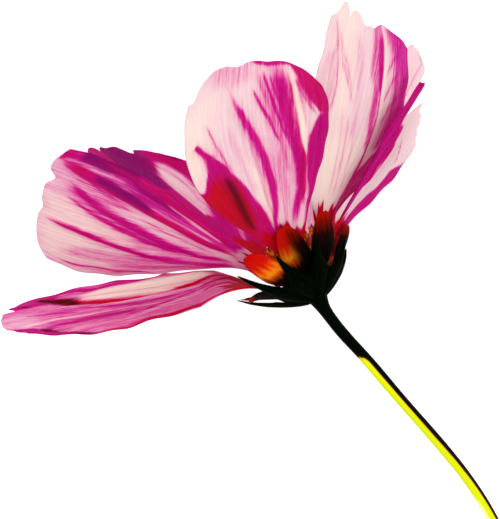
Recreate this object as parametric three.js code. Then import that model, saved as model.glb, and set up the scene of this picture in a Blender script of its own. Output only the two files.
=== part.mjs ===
// Cosmos flower, cut and lying on a surface. Millimetres, +Z up.
// The bloom rests on the three petals under it and on the cut end of its stem.
// Origin: centre of the whole flower's bounding box, at the surface it lies on.
import * as THREE from 'three';
import { mergeVertices } from 'three/addons/utils/BufferGeometryUtils.js';

// ---- Driving dimensions ----
const HEAD = new THREE.Vector3(1.04, 12.7, 30);   // centre of the receptacle's rim
const LEAN = 30;          // flower axis, degrees anticlockwise from +Y
const NOD = 12;           // flower axis, degrees below the horizontal
const PETAL_THICKNESS = 0.45;
const BRACT_THICKNESS = 0.4;
const STEM_RADIUS = 0.85;
const RECEPTACLE_RADIUS = 3.7;
const JOINT_DEPTH = 4.4;  // from the rim down the axis to the top of the stem
const FIT_GAP = 0.3;      // left between pieces that touch in the real flower
const FLORET_COUNT = 30;
const FLORET_RADIUS = 0.52;
const FLORET_SPACING = 0.64;   // the n-th floret stands this times the root of n + 1/2 off the axis
const FLORET_HEIGHTS = [3.6, 5.2];   // the young ones in the middle, and the open ones at the rim
const FLORET_TILT = 26;   // degrees that a floret at the rim leans outward
const RECEPTACLE_DOME = 1.7;   // height of the receptacle's middle over its rim
const DOME_DROP = 0.9;    // how much lower the dome is where it meets the rim
const DOME_STEP = 0.85;

const rad = THREE.MathUtils.degToRad;
const clamp = THREE.MathUtils.clamp;
const lerp = THREE.MathUtils.lerp;
const smooth = THREE.MathUtils.smoothstep;

// ---- The flower's own directions: across it, up from the surface, and along its axis ----
const across = new THREE.Vector3(Math.cos(rad(LEAN)), Math.sin(rad(LEAN)), 0);
const ahead = new THREE.Vector3(-Math.sin(rad(LEAN)), Math.cos(rad(LEAN)), 0);
const axis = ahead.clone().multiplyScalar(Math.cos(rad(NOD)));
axis.z = -Math.sin(rad(NOD));
const upper = ahead.clone().multiplyScalar(Math.sin(rad(NOD)));
upper.z = Math.cos(rad(NOD));

// Azimuth 0 is across, 90 is the upper side, 180 is across the other way, 270 is underneath.
function headPoint(azimuth, radius, height, sideways = 0) {
  const c = Math.cos(azimuth), s = Math.sin(azimuth);
  return HEAD.clone()
    .addScaledVector(across, radius * c - sideways * s)
    .addScaledVector(upper, radius * s + sideways * c)
    .addScaledVector(axis, height);
}

// ---- Petals ----
// Every petal has a narrow claw, a blade that widens to a broad end, and a toothed tip.
// azimuth: where it stands round the axis; spread: angle from the axis at the claw, in the
// blade and added by its curl; half: half its width; rise: how slowly the blade widens;
// widest: where along it the blade is widest; end: width at the tip as a share of that;
// corner: how much shorter the sides are than the middle; skew: one side longer than the other;
// sweep: sideways bend; twist: turn about its length; bow: cupping; fold: one flap turned in;
// teeth: [place across, depth, width] of each notch, or of a lobe where the depth is negative.
const COSMOS_NOTCHES = [[-0.36, 0.05, 0.1], [0.36, 0.05, 0.1]];
const PLAIN_PETAL = {
  half: 12, claw: 1.05, rise: 1.25, widest: 0.68, end: 0.62, corner: 0.16, roundness: 2.6,
  skew: 0, sweep: 0, twist: 0, bow: 12, fold: 0, baseRadius: 4.5, baseHeight: 0.4,
  teeth: COSMOS_NOTCHES,
};
const PETALS = {
  petal_1: {  // left, nearly level with the rim
    azimuth: 184.3, length: 43, half: 12.7, spread: [48, 70, -4], twist: 24, bow: 0, fold: 4,
    rise: 0.62, widest: 0.66, end: 0.66, corner: 0.09, skew: 0.05, baseRadius: 4.8, baseHeight: -0.2,
    teeth: [[0.6, 0.035, 0.06]],
  },
  petal_2: {  // upper left, the broadest
    azimuth: 144, length: 41, half: 13.6, spread: [32, 61, -3], sweep: -0.14, twist: -4, rise: 1.85,
    widest: 0.86, end: 0.95, corner: 0.07, roundness: 4, skew: -0.09, bow: 0,
    teeth: [[-0.42, 0.035, 0.09], [0.12, 0.014, 0.1]],
  },
  petal_3: {  // on top
    azimuth: 91, length: 42.5, half: 12, spread: [41, 65, -4], sweep: -0.215, twist: -6, rise: 1.4,
    widest: 0.86, end: 0.94, corner: 0.14, roundness: 3, skew: 0.16, bow: 0,
    baseRadius: 5, baseHeight: 0, teeth: [[0.92, 0.035, 0.07], [0.3, 0.014, 0.12], [-0.2, 0.01, 0.1]],
  },
  petal_4: {  // upper right, ragged tip
    azimuth: 30, length: 40.6, half: 10.6, spread: [34, 66, -2], sweep: 0.385, twist: 12, rise: 2,
    widest: 0.61, end: 0.82, corner: 0.065, roundness: 4, skew: 0.045, bow: 4,
    baseRadius: 4.2, baseHeight: 0.6,
    teeth: [[0.68, -0.035, 0.12], [0.56, 0.035, 0.05], [0.17, 0.04, 0.1], [-0.03, 0.035, 0.12],
      [-0.55, 0.022, 0.4]],
  },
  petal_5: {  // right, the smallest, split near one edge
    azimuth: 18, length: 27.5, half: 7.8, spread: [45, 70, -1], twist: 2, rise: 2.05, widest: 0.81,
    end: 0.95, corner: 0.07, skew: 0.165, bow: 2, baseRadius: 5, baseHeight: 0,
    teeth: [[1, -0.2, 0.14], [0.64, 0.15, 0.1], [0.45, 0.08, 0.12], [0.1, 0.02, 0.1], [-0.5, 0.09, 1]],
  },
  petal_6: {  // under the right side, on the surface
    azimuth: 323, length: 42, half: 16, spread: [42, 48, 2], sweep: 0.095, twist: -7,
    widest: 0.82, end: 0.8, corner: 0.11, roundness: 3, skew: -0.135, bow: 4,
    baseRadius: 4.6, baseHeight: 0.2,
  },
  petal_7: {  // underneath, on the surface
    azimuth: 273, length: 37, half: 9.8, spread: [38, 44, 2], bow: 30,
    baseRadius: 4.2, baseHeight: 0.6,
  },
  petal_8: {  // under the left side, steepest of all
    azimuth: 213, length: 38, half: 12.5, spread: [20, 23, 3], end: 0.7, corner: 0.13,
    skew: -0.05, bow: 20,
  },
};
const CLAW_END = 0.3;        // share of the length where the spread has changed to the blade's
const SHAPE_START = 0.45;    // share of the length where cupping and folds are full
const FOLD_PLACE = [0.28, 0.52];   // share of the half width where the flap turns
const REST_SOFTNESS = 1.5;   // height over which a petal bends to lie flat on the surface
const MIDRIB_STEPS = 60;
const SECTION_STEPS = 12;

// Radius and height along a petal's midrib, from its claw outward.
function midrib(petal) {
  const [claw, blade, curl] = petal.spread;
  const radii = [petal.baseRadius], heights = [petal.baseHeight];
  const reach = 1.1, step = reach / MIDRIB_STEPS;
  for (let i = 0; i < MIDRIB_STEPS; i++) {
    const s = (i + 0.5) * step;
    const angle = rad(lerp(claw, blade, smooth(s, 0, CLAW_END)) + curl * s * s);
    radii.push(radii[i] + Math.sin(angle) * step * petal.length);
    heights.push(heights[i] + Math.cos(angle) * step * petal.length);
  }
  return (s) => {
    const place = clamp(s / step, 0, MIDRIB_STEPS - 1e-6), i = Math.floor(place);
    const angle = rad(lerp(claw, blade, smooth(s, 0, CLAW_END)) + curl * s * s);
    return {
      radius: lerp(radii[i], radii[i + 1], place - i),
      height: lerp(heights[i], heights[i + 1], place - i),
      angle,
    };
  };
}

function petalHalfWidth(petal, s) {
  const claw = petal.claw / petal.half;
  const opening = Math.sin(Math.min(s / petal.widest, 1) * Math.PI / 2) ** petal.rise;
  const widening = claw + (1 - claw) * opening;
  const past = Math.max(s - petal.widest, 0) / (1 - petal.widest);
  return petal.half * widening * (1 - (1 - petal.end) * past ** 2.2);
}

// How far the blade reaches at this place across it, as a share of the length.
function petalReach(petal, w) {
  const notches = petal.teeth.reduce((sum, [place, depth, width]) =>
    sum + depth * Math.exp(-(((w - place) / width) ** 2)), 0);
  return 1 - petal.corner * Math.abs(w) ** petal.roundness + petal.skew * w - notches;
}

// Bends what would be below the surface up to lie on it.
function restOnSurface(point, lowest) {
  const over = Math.max(point.z - lowest, -REST_SOFTNESS);
  if (over < REST_SOFTNESS) {
    point.z = lowest + (over + REST_SOFTNESS) ** 2 / (4 * REST_SOFTNESS);
  }
  return point;
}

// Middle surface of a petal: w from -1 to 1 across it, s from 0 to 1 along it.
function petalSurface(petal) {
  const rib = midrib(petal), turn = rad(petal.azimuth);
  return (w, s) => {
    const along = s * petalReach(petal, w);
    const { radius, height, angle } = rib(along);
    const shaped = smooth(along, 0, SHAPE_START);
    const halfWidth = petalHalfWidth(petal, s);
    let x = 0, inward = 0;
    for (let i = 0; i < SECTION_STEPS; i++) {
      const v = w * (i + 0.5) / SECTION_STEPS;
      const flap = v > 0 ? petal.fold * smooth(v, ...FOLD_PLACE) : 0;
      const slope = rad((petal.bow * v + flap) * shaped);
      x += halfWidth * Math.cos(slope) * w / SECTION_STEPS;
      inward += halfWidth * Math.sin(slope) * w / SECTION_STEPS;
    }
    const twist = rad(petal.twist * Math.min(along / 0.25, 1));
    const sideways = x * Math.cos(twist) - inward * Math.sin(twist)
      + petal.sweep * petal.length * along * along;
    const lift = x * Math.sin(twist) + inward * Math.cos(twist);
    const out = radius - lift * Math.cos(angle);
    const up = height + lift * Math.sin(angle);
    return restOnSurface(headPoint(turn, out, up, sideways), PETAL_THICKNESS / 2);
  };
}

// ---- Bracts: two rings of eight under the petals ----
// Each wraps round the receptacle. Its profile, in radius and height, runs from its start by
// way of its bend to its own tip.
const BRACT_CUP_END = 0.45;   // share of its length where a bract leaves the cup
const OUTER_START = new THREE.Vector2(1.75, -4.1), OUTER_BEND = new THREE.Vector2(6.6, -2.1);
const OUTER_CUP_RADIUS = 6;   // past it an outer bract doesn't widen
const OUTER_SHARE = 0.25;     // an outer bract's half width, as a share of the cup's radius
const OUTER_POINT = 0.1;      // width left at its tip
const INNER_START = new THREE.Vector2(4.3, -1.7), INNER_BEND = new THREE.Vector2(8, 0.6);
const INNER_HALVES = [0.85, 1.7];   // half width of an inner bract at its start and where it is free
const OUTER_BRACTS = [   // azimuth, and the tip's radius and height
  [140, 11.4, 3.2], [103, 10.6, 2.3], [67, 10.3, 2.5], [30, 9, 0.6],
  [323, 9.4, 1.2], [280, 11.2, 3], [238, 12.3, 2.6], [194, 11, 2.1],
];
const INNER_BRACTS = [   // the same, for the ring inside, under the petals
  [167, 9.6, 0], [120, 12.4, 4.4], [88, 12.4, 5.2], [54, 11.8, 4.8],
  [12, 9.6, 2.6], [301, 12.4, 4.2], [259, 12, 4.8], [214, 12, 2.6],
];

function bractSurface(azimuth, start, bend, tip, halfWidth) {
  const profile = new THREE.QuadraticBezierCurve(start, bend, tip);
  return (w, s) => {
    const at = profile.getPoint(s);
    return headPoint(rad(azimuth) + w * halfWidth(s, at.x) / at.x, at.x, at.y);
  };
}

function freeShare(s) {   // 0 in the cup, and 1 at the tip
  return clamp((s - BRACT_CUP_END) / (1 - BRACT_CUP_END), 0, 1);
}

function outerHalfWidth(s, radius) {   // side by side round the cup, then long and pointed
  return OUTER_SHARE * Math.min(radius, OUTER_CUP_RADIUS) * lerp(1, OUTER_POINT, freeShare(s) ** 0.95);
}

function innerHalfWidth(s) {   // thin, broad and blunt
  return lerp(...INNER_HALVES, smooth(s, 0, BRACT_CUP_END)) * Math.sqrt(1 - 0.93 * freeShare(s) ** 2.4);
}

// ---- Sheets: a box's width, length and thickness laid along a curved surface ----
function sheetGeometry(surface, thickness, columns, rows) {
  const geometry = new THREE.BoxGeometry(2, 1, thickness, columns, rows, 1);
  geometry.deleteAttribute('normal');
  geometry.deleteAttribute('uv');
  const merged = mergeVertices(geometry, 1e-5);
  const places = merged.attributes.position;
  const tiny = 1e-3;
  for (let i = 0; i < places.count; i++) {
    const w = places.getX(i), s = places.getY(i) + 0.5, side = places.getZ(i);
    const w1 = clamp(w, tiny - 1, 1 - tiny), s1 = clamp(s, tiny, 1 - tiny);
    const acrossIt = surface(w1 + tiny, s1).sub(surface(w1 - tiny, s1));
    const alongIt = surface(w1, s1 + tiny).sub(surface(w1, s1 - tiny));
    const out = acrossIt.cross(alongIt).normalize();
    const point = surface(w, s).addScaledVector(out, side);
    places.setXYZ(i, point.x, point.y, point.z);
  }
  merged.computeVertexNormals();
  return merged;
}

// ---- Materials ----
const petalPink = new THREE.MeshStandardMaterial({ color: 0xeb99bc, roughness: 0.55, metalness: 0 });
const bractDark = new THREE.MeshStandardMaterial({ color: 0x14240c, roughness: 0.6, metalness: 0 });
const bractAmber = new THREE.MeshStandardMaterial({ color: 0xb8400f, roughness: 0.5, metalness: 0 });
const stemGreen = new THREE.MeshStandardMaterial({ color: 0xb9c81e, roughness: 0.5, metalness: 0 });
const discYellow = new THREE.MeshStandardMaterial({ color: 0xd89a1a, roughness: 0.7, metalness: 0 });

const flower = new THREE.Group();
function add(name, geometry, material, parent = flower) {
  const mesh = new THREE.Mesh(geometry, material);
  mesh.name = name;
  parent.add(mesh);
  return mesh;
}

const PETAL_FACES = [14, 14];   // columns and rows
const BRACT_FACES = [4, 9];

for (const [name, shape] of Object.entries(PETALS)) {
  const surface = petalSurface({ ...PLAIN_PETAL, ...shape });
  add(name, sheetGeometry(surface, PETAL_THICKNESS, ...PETAL_FACES), petalPink);
}

OUTER_BRACTS.forEach(([azimuth, radius, height], i) => {
  const tip = new THREE.Vector2(radius, height);
  const surface = bractSurface(azimuth, OUTER_START, OUTER_BEND, tip, outerHalfWidth);
  add(`outer_bract_${i + 1}`, sheetGeometry(surface, BRACT_THICKNESS, ...BRACT_FACES), bractDark);
});

INNER_BRACTS.forEach(([azimuth, radius, height], i) => {
  const tip = new THREE.Vector2(radius, height);
  const surface = bractSurface(azimuth, INNER_START, INNER_BEND, tip, innerHalfWidth);
  add(`inner_bract_${i + 1}`, sheetGeometry(surface, BRACT_THICKNESS, ...BRACT_FACES), bractAmber);
});

// ---- Receptacle and disc florets: turned about the flower's axis ----
const head = new THREE.Group();
head.position.copy(HEAD);
head.quaternion.setFromRotationMatrix(
  new THREE.Matrix4().makeBasis(across, upper.clone().negate(), axis));
flower.add(head);

// LatheGeometry turns about Y, so this stands the turned piece up on Z.
function turned(points, sides) {
  return new THREE.LatheGeometry(points, sides).rotateX(Math.PI / 2);
}

function receptacleTop(radius) {   // height of its domed top
  return RECEPTACLE_DOME - DOME_DROP * (radius / RECEPTACLE_RADIUS) ** 2;
}

function receptacle() {   // from the stem's joint up the flared cup, over the rim and the dome
  const rim = RECEPTACLE_RADIUS, dome = [];
  for (let r = rim - FIT_GAP; r > 0.1; r -= DOME_STEP) {
    dome.push(new THREE.Vector2(r, receptacleTop(r)));
  }
  const outline = [
    [0, -JOINT_DEPTH], [0.26 * rim, -JOINT_DEPTH], [0.3 * rim, -0.84 * JOINT_DEPTH],
    [0.92 * rim, -0.56 * JOINT_DEPTH], [rim, -0.27 * JOINT_DEPTH], [rim, 0.2],
  ].map(([radius, height]) => new THREE.Vector2(radius, height));
  return turned([...outline, ...dome, new THREE.Vector2(0, receptacleTop(0))], 24);
}

function floret(height) {   // a slim tube with a wider mouth
  const outline = [[0, 0], [0.62, 0], [0.7, 0.6], [1, 0.85], [0.6, 1], [0, 1]];
  return turned(outline.map(([r, h]) => new THREE.Vector2(r * FLORET_RADIUS, h * height)), 7);
}

add('receptacle', receptacle(), stemGreen, head);

const GOLDEN_ANGLE = Math.PI * (3 - Math.sqrt(5));
for (let n = 0; n < FLORET_COUNT; n++) {
  const radius = FLORET_SPACING * Math.sqrt(n + 0.5);
  const angle = n * GOLDEN_ANGLE;
  const height = lerp(...FLORET_HEIGHTS, n / FLORET_COUNT);
  const mesh = add(`disc_floret_${String(n + 1).padStart(2, '0')}`, floret(height), discYellow, head);
  mesh.position.set(radius * Math.cos(angle), radius * Math.sin(angle), receptacleTop(radius) + FIT_GAP);
  mesh.rotation.order = 'ZYX';
  mesh.rotation.set(0, rad(FLORET_TILT) * radius / RECEPTACLE_RADIUS, angle);
}

// ---- Stem: leaves the receptacle along the axis, sinks to the surface and lies along it ----
function stem() {
  const start = -JOINT_DEPTH - FIT_GAP;
  const route = [start, start - 1.5].map((height) => HEAD.clone().addScaledVector(axis, height));
  for (const [x, y, z] of [
    [5.4, -8.4, 0.5], [9.5, -12.9, -1.2], [14.3, -18.5, -4.5], [21, -26.1, -10.5],
    [25.8, -32, -16], [29.7, -38, -20.8], [33.6, -45.5, -25.4], [38, -54, -28.3],
    [43.5, -63, STEM_RADIUS - HEAD.z],
  ]) route.push(HEAD.clone().add(new THREE.Vector3(x, y, z)));
  const section = new THREE.Shape();
  section.absarc(0, 0, STEM_RADIUS, 0, 2 * Math.PI);
  return new THREE.ExtrudeGeometry(section, {
    extrudePath: new THREE.CatmullRomCurve3(route), steps: 36, curveSegments: 5, bevelEnabled: false,
  });
}
add('stem', stem(), stemGreen);

export default flower;
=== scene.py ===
"""Looks of a cut cosmos flower that lies on a pale surface: petals, bracts, disc, stem, light and camera."""
import math

import bmesh
import bpy
import numpy as np
from mathutils import Matrix, Vector


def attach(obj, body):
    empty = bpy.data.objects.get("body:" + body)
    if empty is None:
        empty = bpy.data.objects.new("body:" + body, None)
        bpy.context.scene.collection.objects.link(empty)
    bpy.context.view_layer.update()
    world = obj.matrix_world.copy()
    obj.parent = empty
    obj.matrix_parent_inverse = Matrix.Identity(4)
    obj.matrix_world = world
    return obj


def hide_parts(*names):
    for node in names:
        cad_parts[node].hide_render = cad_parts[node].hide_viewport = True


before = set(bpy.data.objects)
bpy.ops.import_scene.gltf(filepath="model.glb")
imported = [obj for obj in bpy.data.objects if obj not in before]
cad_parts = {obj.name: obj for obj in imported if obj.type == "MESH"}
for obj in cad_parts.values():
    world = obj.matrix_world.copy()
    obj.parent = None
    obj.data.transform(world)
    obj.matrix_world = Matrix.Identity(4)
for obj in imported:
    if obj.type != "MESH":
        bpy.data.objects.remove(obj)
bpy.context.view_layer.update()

# ---- The flower's own frame, as in the CAD part. Sizes are in millimetres and become metres in the meshes ----
MM = 0.001
HEAD = np.array([1.04, 12.7, 30.0])     # centre of the receptacle's rim
LEAN = math.radians(30)                 # flower axis, anticlockwise from +Y
NOD = math.radians(12)                  # flower axis, below the horizontal
ACROSS = np.array([math.cos(LEAN), math.sin(LEAN), 0.0])
AHEAD = np.array([-math.sin(LEAN), math.cos(LEAN), 0.0])
AXIS = AHEAD * math.cos(NOD) - np.array([0, 0, math.sin(NOD)])
UPPER = AHEAD * math.sin(NOD) + np.array([0, 0, math.cos(NOD)])


def smooth(x, low, high):
    t = np.clip((x - low) / (high - low), 0, 1)
    return t * t * (3 - 2 * t)


def mix(a, b, share):
    return a + (b - a) * share


def head_point(azimuth, radius, height, sideways=0.0):
    """A point given round the flower's axis: azimuth 90 is its upper side, and height is along the axis."""
    out = radius * np.cos(azimuth) - sideways * np.sin(azimuth)
    up = radius * np.sin(azimuth) + sideways * np.cos(azimuth)
    return HEAD + out[..., None] * ACROSS + up[..., None] * UPPER + height[..., None] * AXIS


# ---- Camera, light and floor ----
IMAGE = (500, 519)
MM_PER_PIXEL = 0.15            # at the height of the flower's head
HEAD_PIXEL = (304, 274)
CAMERA_RISE = 450.0            # above the head
camera_data = bpy.data.cameras.new("camera")
camera_data.sensor_width = 36
camera_data.lens = camera_data.sensor_width * CAMERA_RISE / (IMAGE[1] * MM_PER_PIXEL)
camera_data.clip_start, camera_data.clip_end = 0.01, 10
camera = bpy.data.objects.new("camera", camera_data)
camera.location = MM * Vector((
    HEAD[0] + (IMAGE[0] / 2 - HEAD_PIXEL[0]) * MM_PER_PIXEL,
    HEAD[1] - (IMAGE[1] / 2 - HEAD_PIXEL[1]) * MM_PER_PIXEL,
    HEAD[2] + CAMERA_RISE,
))
bpy.context.scene.collection.objects.link(camera)
bpy.context.scene.camera = camera
bpy.context.scene.view_settings.view_transform = "Standard"


def linear(hex_colour):
    """An sRGB hex colour as linear RGBA."""
    parts = [int(hex_colour[i:i + 2], 16) / 255 for i in (1, 3, 5)]
    return tuple(c / 12.92 if c <= 0.04045 else ((c + 0.055) / 1.055) ** 2.4 for c in parts) + (1.0,)


def new_object(name, data):
    made = bpy.data.objects.new(name, data)
    bpy.context.scene.collection.objects.link(made)
    return made


def softbox(name, place, size, power):
    """A square area light, aimed at the flower's head. Place and size are in millimetres."""
    data = bpy.data.lights.new(name, "AREA")
    data.size = size * MM
    data.energy = power
    lamp = new_object(name, data)
    lamp.location = Vector(place) * MM
    lamp.rotation_euler = (Vector(HEAD) * MM - lamp.location).to_track_quat("-Z", "Y").to_euler()


softbox("key_light", (-300, 350, 620), 500, 4.0)
softbox("fill_light", (420, -200, 560), 600, 3.2)

world = bpy.data.worlds.new("studio")
world.use_nodes = True
world.node_tree.nodes["Background"].inputs["Color"].default_value = linear("#ffffff")
world.node_tree.nodes["Background"].inputs["Strength"].default_value = 0.9
bpy.context.scene.world = world


# ---- Materials ----
def add_node(tree, kind, settings=None, inputs=None):
    """Adds a node. settings are its own properties, and inputs are fixed values or sockets to link from."""
    node = tree.nodes.new(kind)
    for key, value in (settings or {}).items():
        setattr(node, key, value)
    for key, value in (inputs or {}).items():
        if isinstance(value, bpy.types.NodeSocket):
            tree.links.new(value, node.inputs[key])
        else:
            node.inputs[key].default_value = value
    return node


def fill_ramp(ramp_node, stops):
    elements = ramp_node.color_ramp.elements
    while len(elements) < len(stops):
        elements.new(0.5)
    for element, (place, colour) in zip(elements, stops):
        element.position = place
        element.color = linear(colour)
    return ramp_node.outputs["Color"]


def new_material(name):
    material = bpy.data.materials.new(name)
    material.use_nodes = True
    material.node_tree.nodes.clear()
    return material, material.node_tree


def vein_noise(tree, uv_name, across, along, detail, roughness=0.5):
    """Noise drawn out along the piece. across and along are its cells per millimetre of the piece's UV map."""
    uv = add_node(tree, "ShaderNodeUVMap", {"uv_map": uv_name})
    stretched = add_node(tree, "ShaderNodeMapping",
                         inputs={"Vector": uv.outputs["UV"], "Scale": (across, along, 1)})
    noise = add_node(tree, "ShaderNodeTexNoise", {"noise_dimensions": "2D"}, {
        "Vector": stretched.outputs["Vector"], "Scale": 1, "Detail": detail, "Roughness": roughness})
    return noise.outputs["Fac"]


def add_noise(tree, base, noise, gain):
    """The base value, moved up and down by the noise times the gain."""
    about_zero = add_node(tree, "ShaderNodeMath", {"operation": "SUBTRACT"}, {0: noise, 1: 0.5})
    moved = add_node(tree, "ShaderNodeMath", {"operation": "MULTIPLY_ADD"},
                     {0: about_zero.outputs[0], 1: gain, 2: base})
    return moved.outputs[0]


def close_material(tree, colour, roughness, specular, relief=None, light_through=0, ior=1.45):
    """Gives the material its skin, with relief if there is any, and lets a share of the light through it."""
    skin = add_node(tree, "ShaderNodeBsdfPrincipled", inputs={
        "Base Color": colour, "Roughness": roughness, "IOR": ior, "Specular IOR Level": specular})
    if relief:
        tree.links.new(relief.outputs["Normal"], skin.inputs["Normal"])
    surface = skin.outputs[0]
    if light_through:
        through = add_node(tree, "ShaderNodeBsdfTranslucent", inputs={"Color": colour})
        surface = add_node(tree, "ShaderNodeMixShader", inputs={
            0: light_through, 1: surface, 2: through.outputs[0]}).outputs[0]
    add_node(tree, "ShaderNodeOutputMaterial", inputs={"Surface": surface})


def petal_tissue():
    """Fresh ray petal: a thin wet tissue whose outer cells are tiny domes, so that it scatters light like satin
    with next to no gloss, and lets about half of it through. The pigment lies along the veins."""
    material, tree = new_material("petal_tissue")
    pigment, warmth, shade = (add_node(tree, "ShaderNodeAttribute", {"attribute_name": name}).outputs["Fac"]
                              for name in ("pigment", "warmth", "shade"))
    # The finest veins are 0.1 mm apart; they are drawn 0.4 mm apart so that they show.
    streak = vein_noise(tree, "petal_mm", across=2.6, along=0.08, detail=3, roughness=0.6)
    grain = vein_noise(tree, "petal_mm", across=6.5, along=0.7, detail=2)
    # Half-tinted places show the veins most, and every place shows them a little.
    rest = add_node(tree, "ShaderNodeMath", {"operation": "SUBTRACT"}, {0: 1, 1: pigment})
    half = add_node(tree, "ShaderNodeMath", {"operation": "MULTIPLY"}, {0: pigment, 1: rest.outputs[0]})
    gain = add_node(tree, "ShaderNodeMath", {"operation": "MULTIPLY_ADD"},
                    {0: half.outputs[0], 1: 2.4, 2: 0.16})
    grain_gain = add_node(tree, "ShaderNodeMath", {"operation": "MULTIPLY"}, {0: gain.outputs[0], 1: 0.45})
    veined = add_noise(tree, pigment, streak, gain.outputs[0])
    depth = add_noise(tree, veined, grain, grain_gain.outputs[0])
    cool, warm = (fill_ramp(add_node(tree, "ShaderNodeValToRGB", inputs={"Fac": depth}), stops) for stops in (
        [(0, "#e4d3d6"), (0.16, "#e1c3cb"), (0.34, "#de9dbd"), (0.5, "#d863a8"), (0.66, "#cb249c"),
         (0.8, "#c30486"), (1, "#b00074")],
        [(0, "#eee2d0"), (0.16, "#e8d0c4"), (0.34, "#e4a2a6"), (0.5, "#da5878"), (0.66, "#cc1250"),
         (0.8, "#c60630"), (1, "#bc0206")]))
    hue = add_node(tree, "ShaderNodeMix", {"data_type": "RGBA"}, {"Factor": warmth, 6: cool, 7: warm})
    deep = add_node(tree, "ShaderNodeMix", {"data_type": "RGBA"},
                    {"Factor": warmth, 6: linear("#5e0a5e"), 7: linear("#2c0303")})
    colour = add_node(tree, "ShaderNodeMix", {"data_type": "RGBA"},
                      {"Factor": shade, 6: hue.outputs[2], 7: deep.outputs[2]})
    relief = add_node(tree, "ShaderNodeBump",
                      inputs={"Height": streak, "Strength": 0.35, "Distance": 0.08 * MM})
    close_material(tree, colour.outputs[2], 0.6, 0.06, relief, light_through=0.5, ior=1.42)
    return material


def outer_bract_leaf():
    """Green bract of the outer ring: a firm leaf with a matt waxy skin, painted near-black as shade,
    with a little green on its ribs, which are a quarter of a millimetre apart."""
    material, tree = new_material("outer_bract_leaf")
    rib = vein_noise(tree, "bract_mm", across=4, along=0.3, detail=2)
    green = fill_ramp(add_node(tree, "ShaderNodeValToRGB", inputs={"Fac": rib}),
                      [(0.3, "#000300"), (0.6, "#010500"), (0.85, "#060d02")])
    relief = add_node(tree, "ShaderNodeBump", inputs={"Height": rib, "Strength": 0.4, "Distance": 0.1 * MM})
    close_material(tree, green, 0.6, 0.005, relief)
    return material


def inner_bract_membrane():
    """Bract of the inner ring: a thin dry membrane with dark veins, red towards its tip. Its amber is painted
    light coming through it, and it is painted near-black as shade where it leaves the cup. The bracts that no
    light comes through stay red-brown."""
    material, tree = new_material("inner_bract_membrane")
    along, glow = (add_node(tree, "ShaderNodeAttribute", {"attribute_name": name}).outputs["Fac"]
                   for name in ("along", "glow"))
    vein = vein_noise(tree, "bract_mm", across=2.6, along=0.22, detail=3, roughness=0.6)
    place = add_noise(tree, along, vein, gain=0.3)
    murk, amber = (fill_ramp(add_node(tree, "ShaderNodeValToRGB", inputs={"Fac": place}), stops) for stops in (
        [(0, "#010200"), (0.5, "#050200"), (0.7, "#1c0400"), (0.84, "#6a0a02"), (1, "#b40e05")],
        [(0, "#040200"), (0.34, "#1a0501"), (0.44, "#b03a08"), (0.56, "#e88a12"), (0.67, "#da480b"),
         (0.76, "#c81407"), (1, "#bc0808")]))
    tone = add_node(tree, "ShaderNodeMix", {"data_type": "RGBA"}, {"Factor": glow, 6: murk, 7: amber})
    close_material(tree, tone.outputs[2], 0.5, 0.01, light_through=0.35)
    return material


def stem_skin():
    """Flower stalk: smooth ribbed skin in painted light and shade: near-black painted shade by the bloom, then
    bright yellow green where it is painted lit, with a painted shadow stripe down one side and a pale painted
    highlight."""
    material, tree = new_material("stem_skin")
    lit = add_node(tree, "ShaderNodeAttribute", {"attribute_name": "lit"}).outputs["Fac"]
    # The lit value paints light and shade: near-black painted shade, the lit yellow green, and a pale painted
    # highlight.
    place = add_noise(tree, lit, vein_noise(tree, "stem_mm", across=3.5, along=0.12, detail=2), gain=0.25)
    green = fill_ramp(add_node(tree, "ShaderNodeValToRGB", inputs={"Fac": place}),
                      [(0, "#000400"), (0.3, "#040c01"), (0.42, "#4a1400"), (0.52, "#b07406"),
                       (0.62, "#bcbc09"), (0.9, "#c4d20e"), (1, "#e6eda6")])
    close_material(tree, green, 0.5, 0.01)
    return material


MOTTLE_STEPS = (0.3, 0.5, 0.7)


def plain_speckled(name, colours, roughness, grain_mm):
    """A matt surface with a mottle of the given grain, in millimetres."""
    material, tree = new_material(name)
    place = add_node(tree, "ShaderNodeTexCoord")
    mottle = add_node(tree, "ShaderNodeTexNoise", inputs={
        "Vector": place.outputs["Object"], "Scale": 1 / (grain_mm * MM), "Detail": 3}).outputs["Fac"]
    ramp = add_node(tree, "ShaderNodeValToRGB", inputs={"Fac": mottle})
    tint = fill_ramp(ramp, list(zip(MOTTLE_STEPS, colours)))
    relief = add_node(tree, "ShaderNodeBump", inputs={"Height": mottle, "Strength": 0.3, "Distance": 0.1 * MM})
    close_material(tree, tint, roughness, 0.15, relief)
    return material


petal_material = petal_tissue()
outer_bract_material = outer_bract_leaf()
inner_bract_material = inner_bract_membrane()
stem_material = stem_skin()
# Cup of the flower: hairless green tissue, painted near-black as shade, like the outer bracts that grow from
# it.
receptacle_material = plain_speckled("receptacle_tissue", ("#000300", "#010500", "#060d02"), 0.6, 0.6)
# Corolla tubes of the disc: soft juicy tissue, golden orange with red-brown mottles.
corolla_material = plain_speckled("corolla_tissue", ("#6a1403", "#b4460a", "#e08a18"), 0.6, 0.5)
# Ripe anthers: dry dark brown sacs.
anther_material = plain_speckled("anther_tissue", ("#120302", "#2a0604", "#5a1006"), 0.7, 0.2)
# Pollen: dull golden grains in clumps.
pollen_material = plain_speckled("pollen_grains", ("#c86a0a", "#f0a81c", "#ffd040"), 0.9, 0.1)
# Studio surface: matt white card.
card_material = plain_speckled("matt_card", ("#fafafa", "#fcfcfc", "#fefefe"), 0.9, 3.0)

floor_mesh = bpy.data.meshes.new("floor")
floor_shape = bmesh.new()
bmesh.ops.create_grid(floor_shape, x_segments=1, y_segments=1, size=3)
floor_shape.to_mesh(floor_mesh)
floor_shape.free()
floor = new_object("floor", floor_mesh)
floor.data.materials.append(card_material)
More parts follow.
